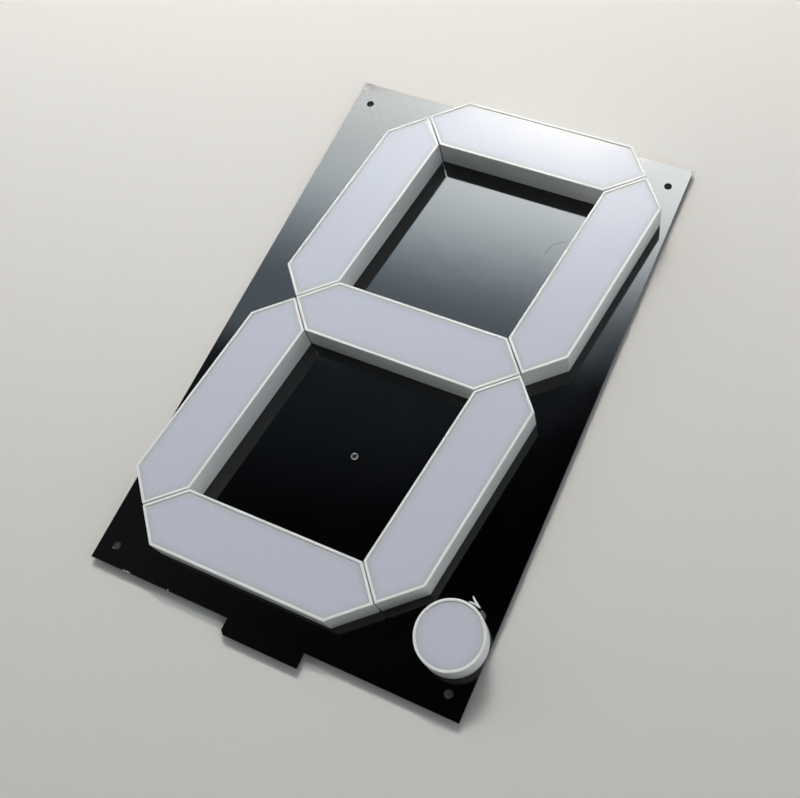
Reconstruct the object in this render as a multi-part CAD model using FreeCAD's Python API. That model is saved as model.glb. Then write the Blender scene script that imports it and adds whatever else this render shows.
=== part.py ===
"""A large seven-segment LED digit with a round decimal point, on a black circuit board.

Millimetres. The digit faces +Z and its top points to +Y. The origin is the centre of the four
corner mounting holes, on the back face of the board.
"""

import FreeCAD, Part
import math
import os

V = FreeCAD.Vector

# Digit: its outer height, and the spacing of its two columns
digit_height = 254.0
column_spacing = 111.7
segment_width = 27.8
slant_degrees = 7.7
mitre_gap = 0.5

# Board, and how far it reaches past the digit
board_thickness = 1.6
side_margin = 4.43
top_margin = 4.65
bottom_margin = 12.95

# Mounting holes, from the edges of the board
mount_hole_diameter = 3.6
mount_hole_from_side = 8.15
mount_hole_from_top = 11.8
mount_hole_from_bottom = 8.5

# Small hole in the lower window of the digit
window_hole_diameter = 2.2

# Tongue on the bottom edge, for a card-edge socket, with one corner broken off
tongue_width = 36.8
tongue_length = 6.8
tongue_off_centre = 0.4
broken_corner = 1.6

# Shells: white frames, open below, with a rebate at the top for the diffuser
shell_height = 13.0
shell_wall = 1.8
rim_width = 1.2
rim_above_diffuser = 0.3
shell_corner_radius = 0.5

# Tabs under the shell walls, pushed through slots in the board and glued
tab_width = 4.0
tab_thickness = 1.2
tab_clearance = 0.2
tab_below_board = 1.5
tab_from_corner = 11.2

# Diffusers: milky covers with a bevelled top edge
diffuser_thickness = 2.0
diffuser_clearance = 0.1
diffuser_bevel = 0.2

# Decimal point
point_diameter = 28.8
point_from_side = 0.1
point_rise = 0.8

# LEDs: lenses with a flange at the foot and a domed top, standing on the board
led_diameter = 4.8
led_flange_diameter = 5.6
led_flange_height = 0.8
led_body_height = 3.6
led_dome_height = 1.3
led_dome_diameter = 3.2
led_sides = 8
leds_per_segment = 8
led_from_tip = 15.2
led_stagger = 4.5
point_led_spacing = 9.0
led_leg_spacing = 2.54

# Solder joints on the back, one at each leg
joint_base_diameter = 2.0
joint_tip_diameter = 0.8
joint_height = 1.3
joint_sides = 6

# Contact fingers on the back of the tongue
finger_count = 9
finger_pitch = 3.96
finger_width = 2.4
finger_length = 8.5
finger_thickness = 0.1
finger_end_margin = 0.6

# Chip resistors on the back, in a row above the tongue
resistor_count = 8
resistor_pitch = 4.2
resistor_length = 3.2
resistor_width = 1.6
resistor_thickness = 0.6
resistor_from_edge = 8.0

# Bead of glue at the foot of the point: radius and place of each lobe round the shell
glue_lobes = ((2.8, 66.0), (2.2, 82.0))

# Heights, from the back face of the board up
board_top = board_thickness
shell_top = board_top + shell_height
diffuser_top = shell_top - rim_above_diffuser
ledge_height = diffuser_top - diffuser_thickness

# Sizes of the slanted digit
row_spacing = (digit_height - segment_width) / 2
slant = math.tan(math.radians(slant_degrees))
tip_setback = mitre_gap / math.sqrt(2)
tip_length = segment_width / 2
widest_row = row_spacing - tip_setback - tip_length
digit_half_width = (column_spacing + segment_width) / 2 + slant * widest_row

# Mounting holes and digit, from the origin midway between the holes
board_right = digit_half_width + side_margin
mount_hole_x = board_right - mount_hole_from_side
board_height = digit_height + top_margin + bottom_margin
mount_hole_y = (board_height - mount_hole_from_top - mount_hole_from_bottom) / 2
board_top_edge = mount_hole_y + mount_hole_from_top
board_bottom_edge = -mount_hole_y - mount_hole_from_bottom
digit_centre_y = board_top_edge - top_margin - digit_height / 2
tongue_end = board_bottom_edge - tongue_length
point_centre = V(
    board_right - point_from_side - point_diameter / 2,
    digit_centre_y - row_spacing + point_rise,
    0,
)

# Each segment runs between two corners of the digit, given as (column, row)
segment_ends = {
    "a": ((-1, 1), (1, 1)),
    "b": ((1, 0), (1, 1)),
    "c": ((1, -1), (1, 0)),
    "d": ((-1, -1), (1, -1)),
    "e": ((-1, -1), (-1, 0)),
    "f": ((-1, 0), (-1, 1)),
    "g": ((-1, 0), (1, 0)),
}


def slanted(x, y):
    """A point of the upright digit, moved to its place on the board in italics."""
    return V(x + slant * y, digit_centre_y + y, 0)


class Segment:
    """The upright layout of one segment, read out in italics."""

    def __init__(self, ends):
        (start_column, start_row), (end_column, end_row) = ends
        self.start = V(start_column * column_spacing / 2, start_row * row_spacing, 0)
        end = V(end_column * column_spacing / 2, end_row * row_spacing, 0)
        self.length = (end - self.start).Length
        self.near_tip = tip_setback
        self.far_tip = self.length - tip_setback
        self.along = (end - self.start).normalize()
        self.across = V(-self.along.y, self.along.x, 0)

    def at(self, distance, offset):
        """The place at a distance along the centre line and an offset to its left."""
        p = self.start + self.along * distance + self.across * offset
        return slanted(p.x, p.y)

    def outline(self):
        """The six corners, anticlockwise from the first tip."""
        half = segment_width / 2
        return [
            self.at(self.near_tip, 0),
            self.at(self.near_tip + tip_length, -half),
            self.at(self.far_tip - tip_length, -half),
            self.at(self.far_tip, 0),
            self.at(self.far_tip - tip_length, half),
            self.at(self.near_tip + tip_length, half),
        ]

    def tabs(self, growth):
        """Corners of the four tabs, or of their slots when they grow by a clearance."""
        to_tab = tip_length + tab_from_corner + tab_width / 2
        wall_middle = (segment_width - shell_wall) / 2
        half_width = tab_width / 2 + growth
        half_thickness = tab_thickness / 2 + growth
        tabs = []
        for distance in (self.near_tip + to_tab, self.far_tip - to_tab):
            for offset in (-wall_middle, wall_middle):
                corners = [
                    self.at(distance + along * half_width, offset + across * half_thickness)
                    for along, across in ((-1, -1), (1, -1), (1, 1), (-1, 1))
                ]
                tabs.append(corners)
        return tabs

    def led_places(self):
        """The LEDs, evenly spaced and staggered left and right of the centre line."""
        first = self.near_tip + led_from_tip
        last = self.far_tip - led_from_tip
        pitch = (last - first) / (leds_per_segment - 1)
        return [
            self.at(first + pitch * i, led_stagger * (-1) ** i) for i in range(leds_per_segment)
        ]


def inset(corners, distance):
    """A convex anticlockwise outline with every side moved inwards by the distance."""
    moved = []
    for i, corner in enumerate(corners):
        before = (corner - corners[i - 1]).normalize()
        after = (corners[(i + 1) % len(corners)] - corner).normalize()
        inwards_before = V(-before.y, before.x, 0)
        inwards_after = V(-after.y, after.x, 0)
        bisector = (inwards_before + inwards_after).normalize()
        moved.append(corner + bisector * (distance / bisector.dot(inwards_after)))
    return moved


def rounded_face(corners, radius):
    """A face whose corners are rounded by tangent arcs."""
    edges = []
    last_end = None
    first_start = None
    for i, corner in enumerate(corners):
        back = (corners[i - 1] - corner).normalize()
        ahead = (corners[(i + 1) % len(corners)] - corner).normalize()
        half_angle = back.getAngle(ahead) / 2
        to_centre = (back + ahead).normalize() * (radius / math.sin(half_angle))
        tangent = radius / math.tan(half_angle)
        arc_start = corner + back * tangent
        arc_end = corner + ahead * tangent
        arc_middle = corner + to_centre * (1 - radius / to_centre.Length)
        if last_end is None:
            first_start = arc_start
        else:
            edges.append(Part.LineSegment(last_end, arc_start).toShape())
        edges.append(Part.Arc(arc_start, arc_middle, arc_end).toShape())
        last_end = arc_end
    edges.append(Part.LineSegment(last_end, first_start).toShape())
    return Part.Face(Part.Wire(edges))


def sharp_face(corners):
    """A face with the given corners."""
    return Part.Face(Part.makePolygon(corners + corners[:1]))


def prism(face, bottom, top):
    """The solid that a face in the XY plane fills between two heights."""
    solid = face.extrude(V(0, 0, top - bottom))
    solid.translate(V(0, 0, bottom))
    return solid


def post(centre, diameter, bottom, top):
    """An upright cylinder between two heights."""
    return Part.makeCylinder(diameter / 2, top - bottom, V(centre.x, centre.y, bottom))


def regular_polygon(centre, diameter, sides, height):
    """The corners of a level regular polygon, on a circle of the diameter."""
    turns = [2 * math.pi * i / sides for i in range(sides)]
    return [
        V(centre.x + diameter / 2 * math.cos(t), centre.y + diameter / 2 * math.sin(t), height)
        for t in turns
    ]


def raised(corners, height):
    """The same corners at a height."""
    return [V(corner.x, corner.y, height) for corner in corners]


def stacked(sections):
    """A solid with flat faces between level sections that have the same number of corners."""
    faces = [sharp_face(sections[0]), sharp_face(sections[-1])]
    for low, high in zip(sections, sections[1:]):
        for i in range(len(low)):
            j = (i + 1) % len(low)
            faces.append(sharp_face([low[i], low[j], high[j], high[i]]))
    return Part.makeSolid(Part.makeShell(faces))


def segment_shell(segment):
    """The white frame of one segment: wall, ledge under the rim, and tabs below."""
    outline = segment.outline()
    shell = prism(rounded_face(outline, shell_corner_radius), board_top, shell_top)
    shell = shell.cut(prism(sharp_face(inset(outline, shell_wall)), board_top, ledge_height))
    shell = shell.cut(prism(sharp_face(inset(outline, rim_width)), ledge_height, shell_top))
    tabs = [prism(sharp_face(tab), -tab_below_board, board_top) for tab in segment.tabs(0)]
    return shell.fuse(tabs).removeSplitter()


def bevelled_cover(edge, bevelled_edge):
    """A diffuser from its outline and the smaller outline of its top face."""
    sections = [
        raised(edge, ledge_height),
        raised(edge, diffuser_top - diffuser_bevel),
        raised(bevelled_edge, diffuser_top),
    ]
    return stacked(sections)


def segment_diffuser(segment):
    """The milky cover that drops on the ledge inside the rim."""
    to_edge = rim_width + diffuser_clearance
    outline = segment.outline()
    return bevelled_cover(inset(outline, to_edge), inset(outline, to_edge + diffuser_bevel))


def point_tabs(growth):
    """The point's two tabs, below and above its centre, or their slots."""
    half_width = tab_width / 2 + growth
    half_thickness = tab_thickness / 2 + growth
    wall_middle = (point_diameter - shell_wall) / 2
    return [
        [
            point_centre + V(x * half_width, side * wall_middle + y * half_thickness, 0)
            for x, y in ((-1, -1), (1, -1), (1, 1), (-1, 1))
        ]
        for side in (-1, 1)
    ]


def point_shell():
    """The round frame of the decimal point, with the same wall, rim and ledge."""
    shell = post(point_centre, point_diameter, board_top, shell_top)
    shell = shell.cut(post(point_centre, point_diameter - 2 * shell_wall, board_top, ledge_height))
    shell = shell.cut(post(point_centre, point_diameter - 2 * rim_width, ledge_height, shell_top))
    tabs = [prism(sharp_face(tab), -tab_below_board, board_top) for tab in point_tabs(0)]
    return shell.fuse(tabs).removeSplitter()


def point_diffuser():
    """The round milky cover, with the same bevel."""
    diameter = point_diameter - 2 * (rim_width + diffuser_clearance)
    straight = post(point_centre, diameter, ledge_height, diffuser_top - diffuser_bevel)
    bevel = Part.makeCone(
        diameter / 2,
        diameter / 2 - diffuser_bevel,
        diffuser_bevel,
        point_centre + V(0, 0, diffuser_top - diffuser_bevel),
    )
    return straight.fuse(bevel).removeSplitter()


def point_led_places():
    """Four LEDs in a square."""
    half = point_led_spacing / 2
    return [point_centre + V(x * half, y * half, 0) for x in (-1, 1) for y in (-1, 1)]


def led(place):
    """One LED lens: flange, body and faceted dome, each between level sections."""
    flange_top = board_top + led_flange_height
    body_top = board_top + led_body_height
    flange = stacked([
        regular_polygon(place, led_flange_diameter, led_sides, board_top),
        regular_polygon(place, led_flange_diameter, led_sides, flange_top),
    ])
    lens = stacked([
        regular_polygon(place, led_diameter, led_sides, flange_top),
        regular_polygon(place, led_diameter, led_sides, body_top),
        regular_polygon(place, led_dome_diameter, led_sides, body_top + led_dome_height),
    ])
    return flange.fuse(lens)


def solder_joint(place):
    """The cone of solder round one leg, on the back of the board."""
    return stacked([
        regular_polygon(place, joint_tip_diameter, joint_sides, -joint_height),
        regular_polygon(place, joint_base_diameter, joint_sides, 0),
    ])


def solder_joints(led_places):
    """Two joints at each LED, one to each side of it."""
    leg = V(led_leg_spacing / 2, 0, 0)
    return [solder_joint(place + leg * side) for place in led_places for side in (-1, 1)]


def base_board(slots):
    """The circuit board: its outline with the tongue, its open holes and the slots for the tabs."""
    tongue_left = tongue_off_centre - tongue_width / 2
    tongue_right = tongue_off_centre + tongue_width / 2
    outline = [
        V(-board_right, board_top_edge, 0),
        V(-board_right, board_bottom_edge, 0),
        V(tongue_left, board_bottom_edge, 0),
        V(tongue_left, tongue_end + broken_corner, 0),
        V(tongue_left + broken_corner, tongue_end, 0),
        V(tongue_right, tongue_end, 0),
        V(tongue_right, board_bottom_edge, 0),
        V(board_right, board_bottom_edge, 0),
        V(board_right, board_top_edge, 0),
    ]
    board = prism(sharp_face(outline), 0, board_top)
    window_middle = V(0, digit_centre_y - row_spacing / 2, 0)
    holes = [post(window_middle, window_hole_diameter, 0, board_top)]
    for x in (-mount_hole_x, mount_hole_x):
        for y in (-mount_hole_y, mount_hole_y):
            holes.append(post(V(x, y, 0), mount_hole_diameter, 0, board_top))
    holes += [prism(sharp_face(slot), 0, board_top) for slot in slots]
    return board.cut(holes)


def contact_fingers():
    """The row of plated fingers on the back of the tongue."""
    fingers = []
    for i in range(finger_count):
        x = tongue_off_centre + (i - (finger_count - 1) / 2) * finger_pitch
        corner = V(x - finger_width / 2, tongue_end + finger_end_margin, -finger_thickness)
        fingers.append(Part.makeBox(finger_width, finger_length, finger_thickness, corner))
    return fingers


def series_resistors():
    """The row of chip resistors on the back, one for each circuit."""
    chips = []
    for i in range(resistor_count):
        x = tongue_off_centre + (i - (resistor_count - 1) / 2) * resistor_pitch
        corner = V(
            x - resistor_width / 2,
            board_bottom_edge + resistor_from_edge - resistor_length / 2,
            -resistor_thickness,
        )
        chips.append(Part.makeBox(resistor_width, resistor_length, resistor_thickness, corner))
    return chips


def point_glue():
    """The clear bead squeezed out at the foot of the point's shell."""
    lobes = []
    for radius, degrees in glue_lobes:
        turn = math.radians(degrees)
        outwards = V(math.cos(turn), math.sin(turn), 0)
        centre = point_centre + outwards * (point_diameter / 2) + V(0, 0, board_top)
        lobes.append(Part.makeSphere(radius, centre))
    bead = lobes[0].fuse(lobes[1:]).removeSplitter()
    below = post(point_centre, 2 * point_diameter, board_top - point_diameter, board_top)
    return bead.cut([below, post(point_centre, point_diameter, board_top, shell_top)])


def export(name, solids):
    """Writes one node from one solid or a group of separate ones."""
    shape = Part.makeCompound(solids) if isinstance(solids, list) else solids
    shape.exportStep(f"parts/{name}.step")


def main():
    os.makedirs("parts", exist_ok=True)
    slots = point_tabs(tab_clearance)
    led_places = point_led_places()
    for letter, ends in segment_ends.items():
        segment = Segment(ends)
        slots += segment.tabs(tab_clearance)
        led_places += segment.led_places()
        export(f"segment_{letter}_shell", segment_shell(segment))
        export(f"segment_{letter}_diffuser", segment_diffuser(segment))
        export(f"segment_{letter}_leds", [led(place) for place in segment.led_places()])
    export("point_shell", point_shell())
    export("point_diffuser", point_diffuser())
    export("point_leds", [led(place) for place in point_led_places()])
    export("point_glue", point_glue())
    export("base_board", base_board(slots))
    export("solder_joints", solder_joints(led_places))
    export("series_resistors", series_resistors())
    export("contact_fingers", contact_fingers())


main()
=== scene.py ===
"""The looks of a large seven-segment LED digit.

White shells with milky diffusers stand on a glossy black board. Lengths are in metres, in the frame of
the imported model: the digit faces +Z and its top points to +Y.
"""

import math

import bmesh
import bpy
from bpy.props import FloatProperty, FloatVectorProperty, IntProperty, PointerProperty
from mathutils import Matrix, Vector


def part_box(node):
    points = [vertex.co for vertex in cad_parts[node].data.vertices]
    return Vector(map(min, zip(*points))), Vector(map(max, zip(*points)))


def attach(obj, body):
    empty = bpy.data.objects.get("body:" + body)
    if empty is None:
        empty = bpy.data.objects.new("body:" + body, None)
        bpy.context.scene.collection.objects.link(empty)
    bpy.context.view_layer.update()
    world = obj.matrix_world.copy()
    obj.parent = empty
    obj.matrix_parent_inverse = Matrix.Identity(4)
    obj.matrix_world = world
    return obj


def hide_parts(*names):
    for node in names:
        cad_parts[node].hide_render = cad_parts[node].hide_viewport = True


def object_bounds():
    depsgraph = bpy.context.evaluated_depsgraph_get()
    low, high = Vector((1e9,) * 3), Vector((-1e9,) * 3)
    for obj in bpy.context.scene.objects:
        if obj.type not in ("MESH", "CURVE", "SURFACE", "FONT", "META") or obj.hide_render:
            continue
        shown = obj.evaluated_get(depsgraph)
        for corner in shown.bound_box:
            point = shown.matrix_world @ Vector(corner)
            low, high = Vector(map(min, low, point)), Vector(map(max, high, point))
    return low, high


bl_info = {
    "name": "Seven-segment digit",
    "version": (1, 0, 0),
    "blender": (4, 5, 0),
    "location": "3D View > Sidebar > Digit",
    "description": "Dresses the packed model of a large seven-segment LED digit",
    "category": "Object",
}

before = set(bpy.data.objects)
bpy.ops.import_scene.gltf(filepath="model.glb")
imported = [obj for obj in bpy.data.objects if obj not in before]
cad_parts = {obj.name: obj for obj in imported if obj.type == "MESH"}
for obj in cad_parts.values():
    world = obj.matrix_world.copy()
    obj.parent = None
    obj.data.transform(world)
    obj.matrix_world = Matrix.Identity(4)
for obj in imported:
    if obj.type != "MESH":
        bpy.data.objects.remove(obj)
cad_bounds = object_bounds()

MM = 0.001

# Corners of a square, anticlockwise
SQUARE = ((-1, -1), (1, -1), (1, 1), (-1, 1))


def middle_of(node):
    """The middle of a node's box."""
    low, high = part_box(node)
    return (low + high) / 2


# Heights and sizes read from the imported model
board_low, board_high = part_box("base_board")
board_top = board_high.z
shell_low, shell_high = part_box("segment_g_shell")
shell_top = shell_high.z
tab_end = shell_low.z
segment_width = shell_high.y - shell_low.y
diffuser_low, diffuser_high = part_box("segment_g_diffuser")
ledge_height = diffuser_low.z
diffuser_top = diffuser_high.z

# Layout of the slanted digit
digit_centre = middle_of("segment_g_shell")
row_spacing = middle_of("segment_a_shell").y - digit_centre.y
slant = (middle_of("segment_a_shell").x - digit_centre.x) / row_spacing
column_spacing = middle_of("segment_b_shell").x - middle_of("segment_f_shell").x
point_centre = middle_of("point_shell")
point_low, point_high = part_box("point_shell")
point_radius = (point_high.y - point_low.y) / 2
window_hole = Vector((0, digit_centre.y - row_spacing / 2, 0))

# Each segment runs between two corners of the digit, given as (column, row)
segment_ends = {
    "a": ((-1, 1), (1, 1)),
    "b": ((1, 0), (1, 1)),
    "c": ((1, -1), (1, 0)),
    "d": ((-1, -1), (1, -1)),
    "e": ((-1, -1), (-1, 0)),
    "f": ((-1, 0), (-1, 1)),
    "g": ((-1, 0), (1, 0)),
}


def length(name, description, value):
    """A length that a user may change."""
    return FloatProperty(
        name=name, description=description, default=value, min=0, unit="LENGTH", precision=5
    )


def colour(name, description, value):
    """A colour that a user may change."""
    return FloatVectorProperty(
        name=name, description=description, default=value, min=0, max=1, size=3, subtype="COLOR"
    )


def factor(name, description, value):
    """A share between nothing and all."""
    return FloatProperty(
        name=name, description=description, default=value, min=0, max=1, subtype="FACTOR"
    )


class BoardSettings(bpy.types.PropertyGroup):
    """The circuit board."""

    edge_radius: length("Edge radius", "Rounding of the routed edges", 0.06 * MM)
    hole_radius: length("Mounting hole radius", "Radius of the four corner holes", 1.8 * MM)
    hole_from_side: length("Hole from side", "Corner hole to the side edge", 8.15 * MM)
    hole_from_top: length("Hole from top", "Upper holes to the top edge", 11.8 * MM)
    hole_from_bottom: length("Hole from bottom", "Lower holes to the bottom edge", 8.5 * MM)
    window_hole_radius: length("Window hole radius", "Radius of the tooling hole", 1.1 * MM)
    tongue_width: length("Tongue width", "Width of the contact tongue", 36.8 * MM)
    tongue_length: length("Tongue length", "How far the tongue reaches out", 6.8 * MM)
    tongue_off_centre: length("Tongue off centre", "Middle of the tongue from the board's", 0.4 * MM)
    broken_corner: length("Broken corner", "Size of the tongue's broken corner", 1.6 * MM)
    mask_colour: colour("Solder mask", "Colour of the glossy mask", (0.0008, 0.0009, 0.0014))
    laminate_colour: colour("Laminate", "Colour of the cut edges", (0.085, 0.085, 0.080))
    # This pale colour marks the chips and the ring round the small hole; on the long chip it is also a
    # painted highlight.
    pale_mark_colour: colour("Chips", "Colour of the bare glass fibre in a chip", (0.42, 0.41, 0.38))
    roughness: factor("Roughness", "Roughness of the mask where it is clean", 0.06)
    chip_place: length("Chip place", "Long chip from the left end of the bottom edge", 18.5 * MM)
    chip_length: length("Chip length", "Length of the long chip in the bottom edge", 4.8 * MM)
    tiny_chip_place: length("Tiny chip place", "Tiny chip from the left end of the edge", 39.775 * MM)
    scratch_right: length("Scratch right", "Centre of the scratch, right of the small hole", 47.3 * MM)
    scratch_above: length("Scratch above", "Centre of the scratch, above the small hole", 123.6 * MM)
    scratch_radius: length("Scratch radius", "Radius of the scratch in the upper window", 8.2 * MM)


class ShellSettings(bpy.types.PropertyGroup):
    """The white shells of the segments and the point."""

    wall: length("Wall", "Thickness of the walls", 1.8 * MM)
    rim_width: length("Rim width", "Width of the rim round each diffuser", 1.2 * MM)
    fillet: length("Fillet", "Rounding of the rim", 0.2 * MM)
    corner_radius: length("Corner radius", "Rounding of the upright corners", 0.5 * MM)
    mitre_gap: length("Mitre gap", "Gap between two shells that meet", 0.5 * MM)
    tab_width: length("Tab width", "Width of the tabs under the walls", 4.0 * MM)
    tab_thickness: length("Tab thickness", "Thickness of the tabs", 1.2 * MM)
    tab_clearance: length("Tab clearance", "Play of a tab in its slot", 0.2 * MM)
    tab_from_corner: length("Tab from corner", "First tab to the corner of the wall", 11.2 * MM)
    # The walls take the plain colour and the upward-facing rims the lighter one below, as painted light
    # on the tops.
    plastic_colour: colour("Plastic", "Colour of the white walls", (0.82, 0.825, 0.815))
    lit_top_colour: colour("Rim", "Colour of the rubbed white rims", (0.93, 0.935, 0.925))


class DiffuserSettings(bpy.types.PropertyGroup):
    """The milky diffusers."""

    clearance: length("Clearance", "Play of a diffuser inside its rim", 0.04 * MM)
    bevel: length("Bevel", "Rounding of the top edge", 0.12 * MM)
    # The band width and the colour below paint shade along each diffuser's rim.
    rim_shade_band: length("Edge band", "Width of the greyer band along the rim", 3.2 * MM)
    milk_colour: colour("Milk", "Colour of the milky plastic", (0.640, 0.666, 0.766))
    rim_shade_colour: colour("Edge", "Colour of the milky plastic along the rim", (0.58, 0.595, 0.625))
    roughness: factor("Roughness", "Roughness of the satin face", 0.165)


class LedSettings(bpy.types.PropertyGroup):
    """The LEDs under the diffusers."""

    per_segment: IntProperty(
        name="In each segment", description="LEDs in each segment", default=8, min=2
    )
    flange_radius: length("Flange radius", "Radius of the flange at the foot", 2.8 * MM)
    from_tip: length("From tip", "First LED to the segment's tip", 15.2 * MM)
    stagger: length("Stagger", "LEDs left and right of the centre line", 4.5 * MM)
    point_spacing: length("Point spacing", "Spacing of the four LEDs of the point", 9.0 * MM)
    leg_spacing: length("Leg spacing", "Spacing of the two legs", 2.54 * MM)
    epoxy_colour: colour("Epoxy", "Colour of the clear lens", (0.83, 0.82, 0.80))


class SolderSettings(bpy.types.PropertyGroup):
    """The solder joints on the back."""

    foot_radius: length("Foot radius", "Radius of a joint on the board", 1.0 * MM)
    tin_colour: colour("Tin", "Colour of the bright solder", (0.70, 0.70, 0.71))


class ResistorSettings(bpy.types.PropertyGroup):
    """The chip resistors on the back."""

    count: IntProperty(name="Count", description="Number of chips in the row", default=8, min=2)
    width: length("Width", "Width of a chip", 1.6 * MM)
    end_length: length("End length", "Length of each tinned end", 0.45 * MM)
    glaze_colour: colour("Glaze", "Colour of the glazed body", (0.034, 0.034, 0.037))


class ContactSettings(bpy.types.PropertyGroup):
    """The plated contact fingers on the back of the tongue."""

    count: IntProperty(name="Count", description="Number of fingers", default=9, min=2)
    width: length("Width", "Width of a finger", 2.4 * MM)
    corner_radius: length("Corner radius", "Rounding of a finger's corners", 0.35 * MM)
    gold_colour: colour("Gold", "Colour of the thin gold plate", (0.82, 0.64, 0.31))


class GlueSettings(bpy.types.PropertyGroup):
    """The glue at the foot of the point."""

    bead_radius: length("Bead radius", "Radius of the larger drop", 2.3 * MM)
    # The threads are clear glue, and their pale, milky colour below is a painted highlight.
    thread_width: length("Thread width", "Width of the pale threads of glue", 0.95 * MM)
    thread_height: length("Thread height", "Height of the pale threads of glue", 0.6 * MM)
    cloudy_colour: colour("Cloudy", "Colour of the bead where it is cloudy", (0.88, 0.89, 0.90))
    clear_colour: colour("Clear", "Colour of the bead where it is clear", (0.97, 0.98, 0.98))
    painted_highlight_colour: colour("Thread", "Colour of the milky threads", (0.94, 0.95, 0.95))


class StageSettings(bpy.types.PropertyGroup):
    """The camera, the floor and the light."""

    camera_place: FloatVectorProperty(
        name="Camera",
        description="Place of the camera",
        default=(0.15648, -0.15694, 0.40718),
        unit="LENGTH",
    )
    lens: FloatProperty(name="Lens", description="Focal length in millimetres", default=46.08)
    floor_colour: colour("Floor", "Colour of the pale floor", (0.82, 0.795, 0.765))
    panel_height: length("Panel height", "Height of the light panel over the floor", 0.9)
    panel_strength: FloatProperty(
        name="Panel strength", description="Light of the panel's broad part", default=4.9
    )


def use(tree, node, inputs):
    """Sets or links the inputs of a node."""
    for name, value in inputs.items():
        socket = node.inputs[name]
        if isinstance(value, bpy.types.NodeSocket):
            tree.links.new(value, socket)
        else:
            socket.default_value = value


def add(tree, kind, inputs=None, **attributes):
    """A new node with its attributes set and its inputs set or linked."""
    node = tree.nodes.new(kind)
    for name, value in attributes.items():
        setattr(node, name, value)
    use(tree, node, inputs or {})
    return node


def calculate(tree, operation, first, *others):
    """The result of one kind of sum on numbers or sockets, taken in turn."""
    result = first
    for other in others or (0.0,):
        node = add(tree, "ShaderNodeMath", {0: result, 1: other}, operation=operation)
        result = node.outputs[0]
    return result


def axes(tree, vector):
    """The three parts of a vector, by the names X, Y and Z."""
    return add(tree, "ShaderNodeSeparateXYZ", {0: vector}).outputs


def upwards(tree):
    """How far a face looks up: one on top, nothing on an upright side and minus one on the back."""
    return axes(tree, add(tree, "ShaderNodeNewGeometry").outputs["True Normal"])["Z"]


def ramp(tree, value, low, high, low_result=0.0, high_result=1.0):
    """The value turned smoothly from one range into another, and held at its ends."""
    inputs = {"Value": value, "From Min": low, "From Max": high}
    inputs.update({"To Min": low_result, "To Max": high_result})
    node = add(tree, "ShaderNodeMapRange", inputs, interpolation_type="SMOOTHSTEP")
    return node.outputs["Result"]


def blend(tree, share, first, second):
    """A colour between two colours."""
    node = add(tree, "ShaderNodeMix", {"Factor": share}, data_type="RGBA")
    for socket, value in ((node.inputs[6], first), (node.inputs[7], second)):
        if isinstance(value, bpy.types.NodeSocket):
            tree.links.new(value, socket)
        else:
            socket.default_value = (*value, 1)
    return node.outputs[2]


def varied(tree, pattern, tone, low, high):
    """A colour that a pattern turns from one share of itself into another."""
    return blend(tree, pattern, [low * part for part in tone], [high * part for part in tone])


def noise(tree, vector, scale, detail=3.0, distortion=0.0):
    """A cloudy pattern between 0 and 1."""
    inputs = {"Vector": vector, "Scale": scale, "Detail": detail, "Distortion": distortion}
    return add(tree, "ShaderNodeTexNoise", inputs).outputs[0]


def stretched(tree, place, scales):
    """The place with its axes scaled, for a pattern that is longer one way."""
    return add(tree, "ShaderNodeMapping", {"Vector": place, "Scale": scales}).outputs[0]


def bump(tree, height, distance, strength=1.0, normal=None):
    """A bumped normal, with the height of the bumps in metres."""
    inputs = {"Height": height, "Distance": distance, "Strength": strength}
    if normal:
        inputs["Normal"] = normal
    return add(tree, "ShaderNodeBump", inputs).outputs[0]


def new_material(name, **inputs):
    """A material with its surface shader and the object coordinates of the piece."""
    material = bpy.data.materials.new(name)
    material.use_nodes = True
    tree = material.node_tree
    surface = tree.nodes["Principled BSDF"]
    for label, value in inputs.items():
        surface.inputs[label.replace("_", " ")].default_value = value
    place = add(tree, "ShaderNodeTexCoord").outputs["Object"]
    return material, tree, surface, place


def distance_to(tree, place, x, y):
    """How far each place is from a centre, seen from above."""
    flat = add(tree, "ShaderNodeVectorMath", {0: place, 1: (1, 1, 0)}, operation="MULTIPLY").outputs[0]
    apart = add(tree, "ShaderNodeVectorMath", {0: flat, 1: (x, y, 0)}, operation="DISTANCE")
    return apart.outputs["Value"]


def band(tree, value, middle, half_width):
    """One in the middle of a narrow band of values and nothing outside it."""
    off = calculate(tree, "ABSOLUTE", calculate(tree, "SUBTRACT", value, middle))
    return ramp(tree, off, 0.5 * half_width, half_width, 1.0, 0.0)


def chipped_edge(tree, place, settings):
    """Where the bottom edge is painted pale: one long chip, whose pale colour is also a painted
    highlight of a glint on the edge, and a tiny one.
    """
    greatest_depth = 1.1 * MM
    tiny_half_length = 0.5 * MM
    parts = axes(tree, place)
    depth = calculate(tree, "MULTIPLY", noise(tree, place, 1300), greatest_depth)
    above = calculate(tree, "SUBTRACT", parts["Y"], board_low.y + settings.tongue_length)
    shallow = calculate(tree, "LESS_THAN", above, depth)
    long_chip = band(tree, parts["X"], board_low.x + settings.chip_place, settings.chip_length / 2)
    tiny_chip = band(tree, parts["X"], board_low.x + settings.tiny_chip_place, tiny_half_length)
    return calculate(tree, "MULTIPLY", shallow, calculate(tree, "MAXIMUM", long_chip, tiny_chip))


def ragged_ring(tree, place, settings):
    """The ragged pale ring round the small hole."""
    width = 0.2 * MM
    raggedness = 0.5 * MM
    far = distance_to(tree, place, window_hole.x, window_hole.y)
    ragged = calculate(tree, "MULTIPLY", noise(tree, place, 1500, detail=2), raggedness)
    reach = calculate(tree, "SUBTRACT", far, ragged)
    return calculate(tree, "LESS_THAN", reach, settings.window_hole_radius + width)


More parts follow.
